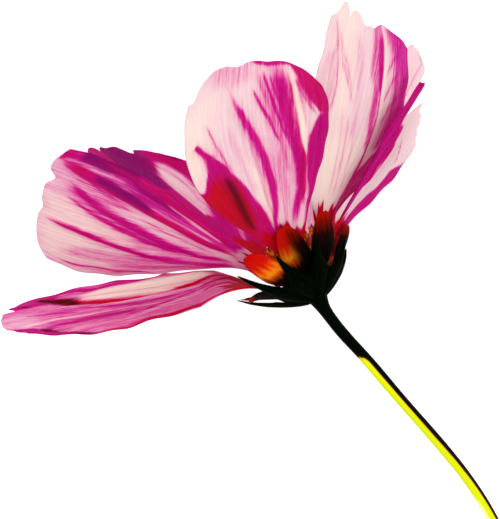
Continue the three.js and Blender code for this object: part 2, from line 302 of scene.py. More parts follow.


# ---- Petals ----
# azimuth, sizes and bends say the same as in the CAD part; marks are painted on the flattened petal.
NOTCHES = [(-0.36, 0.05, 0.1), (0.36, 0.05, 0.1)]
PLAIN_PETAL = dict(
    half=12, claw=1.05, rise=1.25, widest=0.68, end=0.62, corner=0.16, roundness=2.6, skew=0, sweep=0,
    twist=0, bow=12, fold=0, base_radius=4.5, base_height=0.4, teeth=NOTCHES,
)
PETALS = {
    "petal_1": dict(azimuth=184.3, length=43, half=12.7, spread=(48, 70, -4), twist=24, bow=0, fold=4,
                    rise=0.62, widest=0.66, end=0.66, corner=0.09, skew=0.05, base_radius=4.8, base_height=-0.2,
                    teeth=[(0.6, 0.035, 0.06)]),
    "petal_2": dict(azimuth=144, length=41, half=13.6, spread=(32, 61, -3), sweep=-0.14, twist=-4, rise=1.85,
                    widest=0.86, end=0.95, corner=0.07, roundness=4, skew=-0.09, bow=0,
                    teeth=[(-0.42, 0.035, 0.09), (0.12, 0.014, 0.1)]),
    "petal_3": dict(azimuth=91, length=42.5, half=12, spread=(41, 65, -4), sweep=-0.215, twist=-6, rise=1.4,
                    widest=0.86, end=0.94, corner=0.14, roundness=3, skew=0.16, bow=0, base_radius=5,
                    base_height=0, teeth=[(0.92, 0.035, 0.07), (0.3, 0.014, 0.12), (-0.2, 0.01, 0.1)]),
    "petal_4": dict(azimuth=30, length=40.6, half=10.6, spread=(34, 66, -2), sweep=0.385, twist=12, rise=2,
                    widest=0.61, end=0.82, corner=0.065, roundness=4, skew=0.045, bow=4, base_radius=4.2,
                    base_height=0.6,
                    teeth=[(0.68, -0.035, 0.12), (0.56, 0.035, 0.05), (0.17, 0.04, 0.1), (-0.03, 0.035, 0.12),
                           (-0.55, 0.022, 0.4)]),
    "petal_5": dict(azimuth=18, length=27.5, half=7.8, spread=(45, 70, -1), twist=2, rise=2.05, widest=0.81,
                    end=0.95, corner=0.07, skew=0.165, bow=2, base_radius=5, base_height=0,
                    teeth=[(1, -0.2, 0.14), (0.64, 0.15, 0.1), (0.45, 0.08, 0.12), (0.1, 0.02, 0.1),
                           (-0.5, 0.09, 1)]),
    "petal_6": dict(azimuth=323, length=42, half=16, spread=(42, 48, 2), sweep=0.095, twist=-7, widest=0.82,
                    end=0.8, corner=0.11, roundness=3, skew=-0.135, bow=4, base_radius=4.6, base_height=0.2),
    "petal_7": dict(azimuth=273, length=37, half=9.8, spread=(38, 44, 2), bow=30, base_radius=4.2,
                    base_height=0.6),
    "petal_8": dict(azimuth=213, length=38, half=12.5, spread=(20, 23, 3), end=0.7, corner=0.13, skew=-0.05,
                    bow=20),
}
CLAW_END, TWIST_END, SHAPE_START = 0.3, 0.25, 0.45      # shares of a petal's length
MIDRIB_END = 1.1            # the curve runs a little past the tip
TIP_TAPER = 2.2             # power of the narrowing past the widest place
FOLD_PLACE = (0.28, 0.52)   # where across a petal its side folds
REST_SOFTNESS = 1.5
MIDRIB_STEPS = 400
SECTION_STEPS = 12
PETAL_THICKNESS = 0.28
PETAL_REST = 0.225          # height of the middle of a petal that lies on the surface
PETAL_EDGE = 0.4            # share of the thickness at a petal's edge
THIN_EDGE = (0.12, 0.06)    # how far in from its sides and its tip a petal is thinner
PETAL_FACES = (110, 160)    # across and along
FLAT_HALF = 12              # half width of the flattened petal that the veins are laid out on


def petal_surface(petal, w, s):
    """Middle surface of a petal: w from -1 to 1 across it, s from 0 to 1 along it."""
    claw, blade, curl = petal["spread"]
    length = petal["length"]
    share = np.linspace(0, MIDRIB_END, MIDRIB_STEPS + 1)
    between = (share[1:] + share[:-1]) / 2

    def angle_at(place):
        return np.radians(mix(claw, blade, smooth(place, 0, CLAW_END)) + curl * place**2)

    def run(part):
        return np.concatenate([[0], np.cumsum(part(angle_at(between))) * share[1] * length])

    along = s * petal_reach(petal, w)
    radius = petal["base_radius"] + np.interp(along, share, run(np.sin))
    height = petal["base_height"] + np.interp(along, share, run(np.cos))
    shaped = smooth(along, 0, SHAPE_START)
    half = petal_half(petal, s)
    x, inward = 0, 0
    for i in range(SECTION_STEPS):
        v = w * (i + 0.5) / SECTION_STEPS
        flap = np.where(v > 0, petal["fold"] * smooth(v, *FOLD_PLACE), 0)
        slope = np.radians((petal["bow"] * v + flap) * shaped)
        x = x + half * np.cos(slope) * w / SECTION_STEPS
        inward = inward + half * np.sin(slope) * w / SECTION_STEPS
    twist = np.radians(petal["twist"] * np.minimum(along / TWIST_END, 1))
    sideways = x * np.cos(twist) - inward * np.sin(twist) + petal["sweep"] * length * along**2
    lift = x * np.sin(twist) + inward * np.cos(twist)
    angle = angle_at(along)
    return head_point(np.radians(petal["azimuth"]) + 0 * w, radius - lift * np.cos(angle),
                      height + lift * np.sin(angle), sideways)


def petal_half(petal, s):
    claw = petal["claw"] / petal["half"]
    opening = np.sin(np.minimum(s / petal["widest"], 1) * math.pi / 2) ** petal["rise"]
    past = np.maximum(s - petal["widest"], 0) / (1 - petal["widest"])
    return petal["half"] * (claw + (1 - claw) * opening) * (1 - (1 - petal["end"]) * past**TIP_TAPER)


def petal_reach(petal, w):
    notches = sum(depth * np.exp(-(((w - place) / width) ** 2)) for place, depth, width in petal["teeth"])
    return 1 - petal["corner"] * np.abs(w) ** petal["roundness"] + petal["skew"] * w - notches


def rest_on_surface(points, lowest):
    """Bends what would be below the surface up to lie on it."""
    over = np.maximum(points[..., 2] - lowest, -REST_SOFTNESS)
    bent = (over + REST_SOFTNESS) ** 2 / (4 * REST_SOFTNESS)
    points[..., 2] = lowest + np.where(over < REST_SOFTNESS, bent, over)
    return points


# Inks: depth of pigment, warmth from magenta to red, and shade towards near-black.
INKS = dict(
    cream=(0, 0.75, 0), pale=(0.08, 0.1, 0), blush=(0.28, 0, 0), pink=(0.45, 0, 0), rose=(0.6, 0.2, 0),
    violet=(0.69, 0, 0), magenta=(0.84, 0.12, 0), crimson=(0.86, 0.5, 0), red=(0.9, 1, 0),
    purple=(0.92, 0, 0.6), maroon=(0.96, 1, 0.85), black=(1, 1, 1),
)


HALO = 2.2            # how far a stroke's ink spreads, in its own half widths
CORE_SHARE = 0.75     # how much of it lies in the stroke itself
CORE_EDGE = (0.35, 1.4)
FADE_IN, FADE_OUT = (-0.02, 0.15), (0.9, 1.05)      # at a stroke's ends
OUTLINE_STEPS = 6     # short lines that each side of a patch is cut into


def stroke(ink, widths, strength, *points):
    """A painted line along a vein. widths: half widths in millimetres, spaced evenly along it."""
    return dict(kind="stroke", ink=ink, widths=widths, strength=strength, points=points)


def patch(ink, edge, strength, *points):
    """A painted area. edge: how soft its outline is, in millimetres."""
    return dict(kind="patch", ink=ink, edge=edge, strength=strength, points=points)


# Ink that a petal has where nothing else is painted.
BASE_INKS = dict(
    petal_1="pink", petal_2="blush", petal_3="pale", petal_4="pale", petal_5="pale", petal_6="pale",
    petal_7="blush", petal_8="magenta",
)
# Marks in the order they are painted. A place on a petal is -1 to 1 across it and 0 to 1 along it.
MARKS = {
    "petal_1": [
        patch("blush", 1.5, 0.8, (-0.7, 1.05), (-0.5, 0.9), (-0.1, 0.86), (0.2, 0.88), (0.3, 0.96), (0, 1.05)),
        patch("rose", 1.5, 0.45, (0.45, 0.82), (0.2, 0.66), (0, 0.5), (0.1, 0.3), (-0.3, 0.3), (-0.6, 0.5),
              (-0.7, 0.75), (-0.5, 0.85), (0.1, 0.8)),
        patch("cream", 0.7, 0.9, (0.6, 0.76), (0.74, 0.68), (0.8, 0.56), (0.82, 0.44), (0.98, 0.3),
              (0.75, 0.25), (0.42, 0.32), (0.3, 0.42), (0.3, 0.52), (0.38, 0.64), (0.5, 0.72)),
        stroke("pink", [0.2, 0.4, 0.4, 0.2], 0.6, (0.6, 0.78), (0.55, 0.62), (0.5, 0.45), (0.6, 0.3)),
        stroke("magenta", [0.7, 0.7, 0.5, 0.4], 0.85, (0.95, 0.9), (0.86, 0.76), (0.93, 0.64), (0.95, 0.45)),
        patch("magenta", 0.6, 0.85, (0.55, 0.86), (0.75, 0.84), (1.1, 0.8), (1.1, 1.1), (0.6, 1.1),
              (0.5, 0.96)),
        stroke("magenta", [0.3, 0.5, 0.7, 0.7, 0.5, 0.3, 0.2], 0.75, (0.37, 0.79), (0.12, 0.69), (-0.05, 0.59),
               (-0.12, 0.5), (-0.1, 0.41), (0.05, 0.31), (0.35, 0.22)),
        stroke("pink", [0.1, 0.15, 0.15], 0.7, (0.3, 0.76), (0.05, 0.6), (0.05, 0.45)),
        stroke("magenta", [0.3, 0.8, 1, 0.9, 0.5], 0.95, (-0.6, 0.86), (-0.5, 0.76), (-0.43, 0.68),
               (-0.42, 0.6), (-0.4, 0.5)),
        stroke("magenta", [0.2, 0.35, 0.3, 0.2], 0.8, (-0.57, 0.56), (-0.47, 0.47), (-0.27, 0.37), (0.3, 0.21)),
        stroke("magenta", [0.3, 0.5, 0.3], 0.6, (0.1, 0.92), (0.05, 0.82), (-0.05, 0.72)),
        stroke("rose", [0.2, 0.3, 0.2], 0.7, (0.35, 0.94), (0.25, 0.84), (0.1, 0.74)),
        # Painted highlight: a pale streak along the petal.
        stroke("pale", [0.8, 0.6, 0.4, 0.3, 0.25, 0.2, 0.12], 0.85, (-0.6, 0.97), (-0.36, 0.88), (-0.24, 0.8),
               (-0.25, 0.71), (-0.22, 0.62), (-0.22, 0.52), (-0.3, 0.42)),
        stroke("blush", [0.2, 0.3, 0.3, 0.1], 0.7, (0.62, 0.88), (0.42, 0.8), (0.18, 0.72), (0.05, 0.62)),
        stroke("blush", [0.3, 0.6, 0.5, 0.35, 0.2], 0.8, (-0.78, 0.6), (-0.64, 0.49), (-0.42, 0.38),
               (-0.2, 0.28), (0.2, 0.2)),
        stroke("blush", [0.2, 0.3, 0.2], 0.7, (-0.75, 0.76), (-0.72, 0.68), (-0.68, 0.58)),
        patch("magenta", 0.3, 0.95, (-0.58, 0.89), (-0.7, 0.86), (-0.87, 0.83), (-0.97, 0.76), (-1.1, 0.62),
              (-1.1, 1.05), (-0.7, 1.05)),
        stroke("blush", [0.2, 0.5, 0.6, 0.5, 0.3], 0.75, (0.2, 0.66), (0.08, 0.56), (0.08, 0.42), (0.2, 0.3),
               (0.5, 0.21)),
        stroke("red", [0.2, 0.4, 0.5, 0.5, 0.5, 0.45, 0.4], 1, (0.94, 0.95), (0.64, 0.83), (0.4, 0.7),
               (0.27, 0.57), (0.3, 0.44), (0.5, 0.31), (1, 0.19)),
        # Painted shade: dark lines in the two creases.
        stroke("maroon", [0.15, 0.5, 0.6, 0.2], 1, (0.86, 0.93), (0.72, 0.87), (0.57, 0.8), (0.43, 0.72)),
        stroke("maroon", [0.2, 0.7, 0.7, 0.5, 0.3], 1, (-0.56, 0.88), (-0.68, 0.85), (-0.82, 0.83),
               (-0.94, 0.78), (-1, 0.7)),
        stroke("red", [0.3, 0.5, 0.5, 0.5], 1, (-0.98, 0.72), (-0.98, 0.55), (-0.96, 0.4), (-0.9, 0.2)),
        stroke("red", [0.1, 0.4, 0.5, 0.6], 0.95, (0.12, 0.28), (0.36, 0.25), (0.6, 0.22), (1, 0.17)),
        stroke("red", [0.1, 0.3, 0.4], 0.8, (-0.2, 0.27), (0.1, 0.23), (0.5, 0.17)),
        stroke("crimson", [0.2, 0.2, 0.25, 0.3], 0.9, (1, 0.75), (1, 0.6), (1, 0.4), (1, 0.22)),
        stroke("black", [0.12, 0.22], 0.95, (0.68, 0.97), (0.57, 0.95)),
    ],
    "petal_2": [
        patch("cream", 2.5, 0.5, (0.9, 1), (-0.2, 1), (-0.1, 0.6), (0.9, 0.6)),
        patch("pale", 1.5, 0.8, (-0.55, 0.7), (-0.2, 0.7), (0.3, 0.35), (0.4, 0.2), (-0.3, 0.2)),
        patch("magenta", 0.8, 0.9, (-1.1, 1.05), (-0.84, 1.02), (-0.86, 0.84), (-0.76, 0.72), (-0.7, 0.61),
              (-0.68, 0.51), (-0.66, 0.39), (-0.53, 0.27), (-0.3, 0.2), (-1.1, 0.18)),
        stroke("magenta", [0.5, 0.9, 0.9, 0.5], 0.6, (-0.7, 0.72), (-0.62, 0.55), (-0.55, 0.38), (-0.3, 0.22)),
        # Painted shadow: dark purple near the margin.
        patch("purple", 0.7, 0.9, (-1.1, 0.95), (-0.86, 0.93), (-0.82, 0.84), (-0.86, 0.76), (-0.9, 0.7),
              (-1.1, 0.72)),
        stroke("purple", [0.2, 0.5, 0.5, 0.2], 0.6, (-0.9, 0.74), (-0.82, 0.66), (-0.78, 0.56), (-0.76, 0.44)),
        stroke("pale", [0.15, 0.3, 0.3, 0.15], 0.75, (-0.84, 0.56), (-0.8, 0.46), (-0.74, 0.36), (-0.6, 0.26)),
        stroke("pale", [0.1, 0.22, 0.22, 0.1], 0.7, (-0.62, 0.66), (-0.585, 0.55), (-0.56, 0.42), (-0.42, 0.3)),
        stroke("red", [0.15, 0.2, 0.2, 0.2], 0.6, (-0.92, 0.7), (-0.86, 0.5), (-0.82, 0.36), (-0.6, 0.22)),
        stroke("magenta", [0.3, 0.5, 0.7, 0.75, 0.6, 0.45], 0.92, (0.26, 0.99), (0.26, 0.84), (0.35, 0.69),
               (0.51, 0.52), (0.66, 0.37), (0.84, 0.19)),
        stroke("crimson", [0.12, 0.16, 0.2, 0.2], 0.9, (0.27, 0.97), (0.32, 0.72), (0.56, 0.47), (0.86, 0.2)),
        stroke("pink", [0.6, 1.5, 1.5, 0.9], 0.75, (0.75, 0.9), (0.63, 0.72), (0.72, 0.55), (0.8, 0.3)),
        stroke("rose", [0.2, 0.5, 0.5, 0.3], 0.55, (0.8, 0.7), (0.82, 0.55), (0.86, 0.4), (0.9, 0.22)),
        stroke("magenta", [0.15, 0.25, 0.25, 0.15], 0.7, (0.9, 0.92), (0.88, 0.8), (0.9, 0.65), (0.95, 0.5)),
        stroke("rose", [0.3, 0.9, 1.5, 1.5, 1.2, 0.7], 0.6, (-0.42, 0.97), (-0.33, 0.88), (-0.15, 0.74),
               (0, 0.6), (0.16, 0.47), (0.5, 0.23)),
        stroke("magenta", [0.2, 0.55, 0.95, 0.95, 0.7, 0.5, 0.35], 0.9, (-0.46, 0.95), (-0.36, 0.88),
               (-0.2, 0.75), (-0.06, 0.6), (0.12, 0.47), (0.32, 0.34), (0.55, 0.2)),
        stroke("magenta", [0.2, 0.5, 0.65, 0.55, 0.3], 0.75, (-0.24, 0.92), (-0.08, 0.8), (0.04, 0.68),
               (0.16, 0.56), (0.34, 0.4)),
        stroke("rose", [0.2, 0.4, 0.2], 0.55, (-0.56, 0.92), (-0.46, 0.8), (-0.34, 0.66)),
        stroke("rose", [0.1, 0.3, 0.3], 0.6, (-0.3, 0.62), (-0.16, 0.46), (0.12, 0.28)),
        stroke("magenta", [0.3, 0.5, 0.4, 0.15], 0.7, (-0.74, 0.98), (-0.66, 0.9), (-0.56, 0.83),
               (-0.44, 0.74)),
        stroke("crimson", [0.4, 0.95, 1.05, 0.9, 0.7, 0.5, 0.35], 0.97, (-0.83, 1), (-0.72, 0.9), (-0.62, 0.78),
               (-0.53, 0.64), (-0.47, 0.5), (-0.36, 0.35), (0.07, 0.18)),
        stroke("magenta", [0.5, 0.9, 0.6], 0.6, (-0.72, 0.9), (-0.64, 0.78), (-0.55, 0.64)),
        stroke("purple", [0.3, 0.65, 0.7, 0.3], 0.95, (-0.7, 0.85), (-0.66, 0.77), (-0.62, 0.68),
               (-0.55, 0.58)),
        stroke("crimson", [0.25, 0.25, 0.3], 0.9, (-1, 0.9), (-1, 0.55), (-1, 0.2)),
        stroke("crimson", [0.15, 0.15, 0.2], 0.8, (-0.97, 1), (-0.98, 0.97), (-0.8, 0.995)),
    ],
    "petal_3": [
        patch("cream", 3, 0.6, (1.1, 0.98), (0.6, 0.9), (0.7, 0.7), (1.1, 0.6)),
        patch("pink", 1.3, 0.5, (0.75, 1.02), (0.6, 0.94), (0.3, 0.93), (0.05, 0.93), (-0.05, 1.02)),
        patch("blush", 2, 0.7, (-0.1, 0.92), (-0.4, 0.9), (-0.7, 0.5), (-0.6, 0.25), (-0.1, 0.4)),
        stroke("cream", [0.3, 0.9, 0.7, 0.4], 0.75, (0.25, 0.62), (0.08, 0.45), (0.1, 0.3), (0.3, 0.17)),
        stroke("blush", [0.8, 0.6, 0.5], 0.6, (0.42, 0.78), (0.3, 0.6), (0.22, 0.42)),
        stroke("pink", [0.3, 0.5, 0.3, 0.2], 0.45, (0.3, 0.86), (0.1, 0.66), (0.02, 0.5), (0.1, 0.3)),
        # Painted shadow of another petal, cast over this petal's flap and the part beside it: the finger, the
        # magenta and red areas and their dark lines.
        stroke("magenta", [0.2, 0.25, 0.35, 0.8], 1, (0.88, 0.8), (0.835, 0.765), (0.78, 0.72), (0.7, 0.66)),
        patch("magenta", 0.3, 1, (0.74, 0.71), (0.69, 0.68), (0.6, 0.65),
              (0.53, 0.61), (0.48, 0.56), (0.33, 0.45), (0.25, 0.35), (0.2, 0.3), (0.22, 0.2), (0.2, 0.1),
              (1.1, 0.1), (1.1, 0.57), (0.93, 0.59), (0.86, 0.61), (0.8, 0.64), (0.77, 0.69)),
        patch("red", 1.5, 0.97, (1.1, 0.57), (0.72, 0.59), (0.6, 0.53), (0.53, 0.41), (0.6, 0.3), (0.8, 0.18),
              (1.1, 0.15)),
        stroke("maroon", [0.3, 0.5, 0.6, 0.4], 0.5, (0.63, 0.58), (0.6, 0.48), (0.65, 0.38), (0.8, 0.28)),
        stroke("maroon", [0.3, 0.5, 0.5, 0.4, 0.2], 0.65, (0.59, 0.57), (0.57, 0.5), (0.59, 0.42), (0.67, 0.33),
               (0.78, 0.25)),
        stroke("red", [0.15, 0.2, 0.25], 0.9, (0.49, 0.57), (0.5, 0.42), (0.64, 0.28)),
        stroke("crimson", [0.4, 0.7, 0.5], 0.7, (0.3, 0.38), (0.4, 0.25), (0.6, 0.16)),
        stroke("rose", [0.1, 0.15, 0.2], 0.7, (0.72, 0.84), (0.6, 0.71), (0.49, 0.58)),
        stroke("magenta", [0.15, 0.5, 0.6, 0.72, 0.62, 0.5, 0.35, 0.3], 0.9, (0.42, 0.94), (0.22, 0.81),
               (0.04, 0.67), (-0.05, 0.57), (-0.12, 0.44), (-0.1, 0.35), (0.05, 0.24), (0.3, 0.14)),
        stroke("magenta", [0.12, 0.34, 0.36, 0.12], 0.85, (0.05, 0.9), (-0.06, 0.82), (-0.18, 0.75),
               (-0.33, 0.62)),
        stroke("rose", [0.4, 0.5, 0.45, 0.3], 0.6, (0, 0.97), (-0.16, 0.84), (-0.33, 0.66), (-0.49, 0.46)),
        stroke("magenta", [0.25, 0.32, 0.2], 0.85, (-0.1, 0.97), (-0.24, 0.83), (-0.42, 0.64)),
        stroke("magenta", [0.15, 0.25, 0.2], 0.6, (-0.2, 0.96), (-0.34, 0.8), (-0.5, 0.58)),
        stroke("rose", [0.5, 0.5, 0.4], 0.4, (-0.3, 0.6), (-0.4, 0.4), (-0.3, 0.2)),
        stroke("magenta", [1.0, 1.25, 1.1, 0.9, 0.75, 0.6, 0.4], 0.95, (-0.3, 1), (-0.37, 0.88), (-0.44, 0.76),
               (-0.55, 0.62), (-0.66, 0.5), (-0.73, 0.38), (-0.6, 0.2)),
        stroke("crimson", [0.22, 0.25, 0.3, 0.3], 0.95, (-0.46, 0.98), (-0.54, 0.77), (-0.68, 0.56),
               (-0.85, 0.3)),
        stroke("cream", [0.4, 0.7, 0.6, 0.2], 0.95, (-0.5, 0.98), (-0.57, 0.84), (-0.63, 0.7), (-0.72, 0.56)),
        stroke("rose", [0.3, 0.3, 0.1], 0.5, (-0.6, 0.93), (-0.65, 0.8), (-0.72, 0.68)),
        patch("crimson", 0.45, 0.9, (-0.48, 1.02), (-0.58, 0.95), (-0.66, 0.88), (-0.78, 0.82), (-0.9, 0.78),
              (-1.1, 0.77), (-1.1, 1.05), (-0.5, 1.05)),
        stroke("magenta", [0.5, 0.7, 0.3], 0.5, (-0.56, 0.94), (-0.68, 0.85), (-0.84, 0.76)),
        patch("magenta", 0.25, 1, (-0.9, 0.78), (-0.82, 0.72), (-0.76, 0.64), (-0.73, 0.54), (-0.8, 0.44),
              (-0.92, 0.34), (-0.95, 0.2), (-1.1, 0.2), (-1.1, 0.8)),
        stroke("magenta", [0.25, 0.55, 0.6, 0.4], 0.85, (0.1, 1), (-0.15, 0.995), (-0.35, 0.995), (-0.55, 1)),
    ],
    "petal_4": [
        patch("cream", 3, 0.7, (0.9, 0.5), (-0.3, 0.5), (-0.3, 0.2), (0.9, 0.2)),
        patch("cream", 2, 0.5, (0.9, 1), (0.3, 1), (0.2, 0.6), (0.6, 0.5)),
        stroke("rose", [0.1, 0.14, 0.18, 0.14], 0.75, (0.91, 1), (0.71, 0.81), (0.6, 0.69), (0.62, 0.58)),
        stroke("blush", [0.8, 0.8, 0.6], 0.6, (0.85, 0.85), (0.72, 0.72), (0.7, 0.6)),
        stroke("pink", [0.15, 0.3, 0.3, 0.15], 0.6, (0.75, 0.9), (0.6, 0.82), (0.42, 0.74), (0.22, 0.66)),
        stroke("pink", [0.1, 0.2, 0.2, 0.1], 0.55, (0.63, 0.87), (0.5, 0.81), (0.33, 0.73), (0.17, 0.65)),
        stroke("rose", [0.12, 0.22, 0.25, 0.2], 0.35, (0.36, 0.62), (0.22, 0.44), (0.07, 0.24)),
        stroke("rose", [0.12, 0.22, 0.25, 0.2], 0.4, (0.2, 0.62), (0.09, 0.44), (-0.16, 0.24)),
        stroke("rose", [0.12, 0.2, 0.2, 0.2], 0.35, (0.02, 0.62), (-0.08, 0.46), (-0.38, 0.26)),
        stroke("blush", [0.8, 0.8, 0.5], 0.6, (0.3, 0.95), (0.1, 0.75), (0, 0.5)),
        patch("violet", 0.5, 0.62, (-0.02, 1.02), (-0.05, 0.86), (-0.1, 0.78), (-0.25, 0.71), (-0.32, 0.72),
              (-0.29, 0.79), (-0.24, 0.88), (-0.21, 1.02)),
        stroke("magenta", [0.3, 0.45, 0.35, 0.1], 0.8, (-0.2, 0.97), (-0.22, 0.88), (-0.27, 0.79),
               (-0.31, 0.72)),
        stroke("magenta", [0.1, 0.5, 0.55, 0.3, 0.15], 0.62, (-0.2, 0.76), (-0.25, 0.7), (-0.28, 0.62),
               (-0.32, 0.54), (-0.36, 0.46)),
        stroke("magenta", [0.1, 0.1, 0.15, 0.2, 0.3, 0.3], 0.85, (-0.2, 1), (-0.28, 0.8), (-0.36, 0.62),
               (-0.39, 0.45), (-0.53, 0.33), (-0.82, 0.22)),
        stroke("cream", [0.3, 0.5, 0.3, 0.1], 0.7, (-0.3, 0.97), (-0.36, 0.84), (-0.43, 0.68), (-0.46, 0.5)),
        patch("violet", 1.4, 0.97, (-0.25, 1.06), (-0.42, 0.96), (-0.55, 0.9), (-0.62, 0.83), (-0.63, 0.76),
              (-0.68, 0.69), (-0.63, 0.62), (-0.6, 0.55), (-0.62, 0.48), (-1.1, 0.48), (-1.1, 1.06)),
        # Painted shade: the deep band where this petal lies in the shadow of petal_5.
        patch("rose", 0.25, 1, (-0.64, 0.17), (-0.56, 0.25), (-0.48, 0.33), (-0.55, 0.39), (-0.64, 0.43),
              (-0.75, 0.51), (-0.86, 0.6), (-1, 0.72), (-1.1, 0.72), (-1.1, 0.1), (-0.8, 0.1)),
        stroke("violet", [0.5, 0.3, 0.1], 0.6, (-0.75, 0.85), (-0.58, 0.78), (-0.47, 0.68)),
        stroke("violet", [0.5, 0.3, 0.1], 0.6, (-0.75, 0.95), (-0.55, 0.88), (-0.43, 0.79)),
        stroke("violet", [0.5, 0.3, 0.1], 0.6, (-0.8, 0.75), (-0.64, 0.68), (-0.52, 0.58)),
    ],
    "petal_5": [
        # Painted shade: the upper flap, seen in shadow as a deep magenta band.
        patch("magenta", 0.2, 1, (1.2, 1.1), (0.76, 1.05), (0.7, 0.99), (0.48, 0.82), (0.3, 0.7), (0.4, 0.6),
              (0.4, 0.49), (0.5, 0.3), (0.6, 0.1), (1.2, 0.1)),
        stroke("crimson", [0.12, 0.18, 0.2], 0.7, (0.66, 0.96), (0.33, 0.7), (0.42, 0.48)),
        stroke("rose", [0.1, 0.15, 0.2, 0.2], 0.75, (0.25, 0.82), (-0.28, 0.74), (-0.46, 0.62), (-0.5, 0.44)),
        stroke("rose", [0.1, 0.12, 0.15], 0.5, (0.1, 0.86), (0, 0.62), (0, 0.35)),
        # Painted shade: the lower flap, in shadow.
        patch("magenta", 0.3, 0.97, (-1.1, 0.94), (-0.82, 0.82), (-0.5, 0.69), (-0.4, 0.58), (-0.3, 0.44),
              (-0.05, 0.28), (0.15, 0.1), (-1.1, 0.1)),
    ],
    "petal_6": [
        stroke("pink", [0.3, 0.3, 0.3], 0.5, (0.3, 0.9), (0.2, 0.5), (0.1, 0.2)),
        stroke("pink", [0.3, 0.3, 0.3], 0.5, (-0.4, 0.95), (-0.3, 0.5), (-0.1, 0.2)),
        stroke("rose", [0.2, 0.2], 0.6, (1, 0.95), (1, 0.3)),
    ],
    "petal_7": [
        stroke("magenta", [0.3, 0.7, 0.3], 0.7, (0.36, 0.95), (0.3, 0.55), (0.1, 0.2)),
        stroke("magenta", [0.3, 0.7, 0.3], 0.7, (-0.36, 0.95), (-0.3, 0.55), (-0.1, 0.2)),
    ],
    "petal_8": [
        # Painted shadow in dark purple over the tip end, with a pale painted pool of light in it.
        patch("purple", 1.5, 0.85, (-0.3, 1.05), (0.5, 1), (0.3, 0.85), (0.15, 0.7), (-0.3, 0.6)),
        patch("pale", 0.7, 0.85, (0.42, 0.9), (0.25, 0.8), (0.17, 0.7), (0.16, 0.57), (0.15, 0.48), (0.3, 0.5),
              (0.5, 0.66), (0.56, 0.77), (0.54, 0.86)),
        stroke("crimson", [0.6, 0.8, 0.5], 0.9, (0.55, 0.97), (0.72, 0.84), (0.8, 0.7)),
        stroke("pink", [0.2, 0.3, 0.2], 0.5, (0.5, 0.86), (0.42, 0.7), (0.3, 0.52)),
        stroke("blush", [0.2, 0.7, 0.3], 0.7, (-0.6, 0.68), (-0.45, 0.45), (-0.2, 0.25)),
        stroke("blush", [0.2, 0.6, 0.3], 0.7, (0.75, 0.6), (0.6, 0.42), (0.3, 0.25)),
    ],
}
# Painted light and shade at the foot of a petal: red light through it, ragged with the painted shadow of the
# disc florets. How far it reaches along it, and how ragged its edge is.
FOOT_LIGHT_AND_SHADE = dict(
    petal_1=(0.18, 0.02), petal_2=(0.15, 0.02), petal_3=(0.2, 0.02), petal_4=(0.185, 0.022),
    petal_5=(0.24, 0.02), petal_6=(0.2, 0.02), petal_7=(0.2, 0.02), petal_8=(0.3, 0.03),
)
FOOT_SHADE_WAVES = (7, 19)
FOOT_SHADE_EDGE = (0.02, 0.012)     # how soft it is, before and past the edge


def on_flat(petal, w, s):
    return np.stack([w * petal_half(petal, s), s * petal["length"]], -1)


def line_distance(places, points):
    """Distance from each place to a line through the points, and how far along the line that is, 0 to 1."""
    best = np.full(len(places), 1e9)
    share = np.zeros(len(places))
    for i, (a, b) in enumerate(zip(points[:-1], points[1:])):
        step = b - a
        t = np.clip(((places - a) @ step) / (step @ step), 0, 1)
        distance = np.linalg.norm(places - a - t[:, None] * step, axis=1)
        closer = distance < best
        best[closer] = distance[closer]
        share[closer] = ((i + t) / (len(points) - 1))[closer]
    return best, share


def inside(places, outline):
    x, y = places[:, 0], places[:, 1]
    within = np.zeros(len(places), bool)
    for a, b in zip(outline, np.roll(outline, -1, 0)):
        if a[1] != b[1]:
            crossing = a[0] + (y - a[1]) * (b[0] - a[0]) / (b[1] - a[1])
            within ^= ((a[1] > y) != (b[1] > y)) & (x < crossing)
    return within


def mark_cover(petal, places, mark):
    """How much of a mark's ink lies on each place, 0 to 1."""
    corners = np.array(mark["points"], float)
    if mark["kind"] == "stroke":
        points = on_flat(petal, *corners.T)
        distance, share = line_distance(places, points)
        width = np.interp(share, np.linspace(0, 1, len(mark["widths"])), mark["widths"])
        core = 1 - smooth(distance / width, *CORE_EDGE)
        halo = np.exp(-((distance / (HALO * width)) ** 2))
        ends = np.minimum(smooth(share, *FADE_IN), 1 - smooth(share, *FADE_OUT))
        return mix(halo, core, CORE_SHARE) * mark["strength"] * ends
    # The sides of the outline are cut up so that they follow the petal's curved margin.
    outline = np.vstack([corners, corners[:1]])
    steps = np.linspace(0, len(corners), OUTLINE_STEPS * len(corners) + 1)
    w, s = (np.interp(steps, np.arange(len(outline)), part) for part in outline.T)
    points = on_flat(petal, w, s)
    distance, _ = line_distance(places, points)
    signed = np.where(inside(places, points), distance, -distance)
    return smooth(signed, -mark["edge"], mark["edge"]) * mark["strength"]


def uneven(w, waves, phases):
    """A wavy line across a petal, made of two sines."""
    return np.sin(waves[0] * w + phases[0]) + 0.6 * np.sin(waves[1] * w + phases[1])


def paint(name, petal, w, s):
    """Pigment, warmth and shade at each place of a petal."""
    places = on_flat(petal, w, s)
    values = np.tile(INKS[BASE_INKS[name]], (len(places), 1)).astype(float)
    for mark in MARKS[name]:
        cover = mark_cover(petal, places, mark)[:, None]
        values = mix(values, np.array(INKS[mark["ink"]], float), cover)
    # Painted light and shade: the foot is painted red as light through the petal, its ragged edge the florets'
    # painted shadow.
    reach, ragged = FOOT_LIGHT_AND_SHADE[name]
    edge = reach + ragged * uneven(w, FOOT_SHADE_WAVES, (petal["azimuth"], 2))
    glow = (1 - smooth(s, edge - FOOT_SHADE_EDGE[0], edge + FOOT_SHADE_EDGE[1]))[:, None]
    return mix(values, np.array(INKS["red"], float), glow)


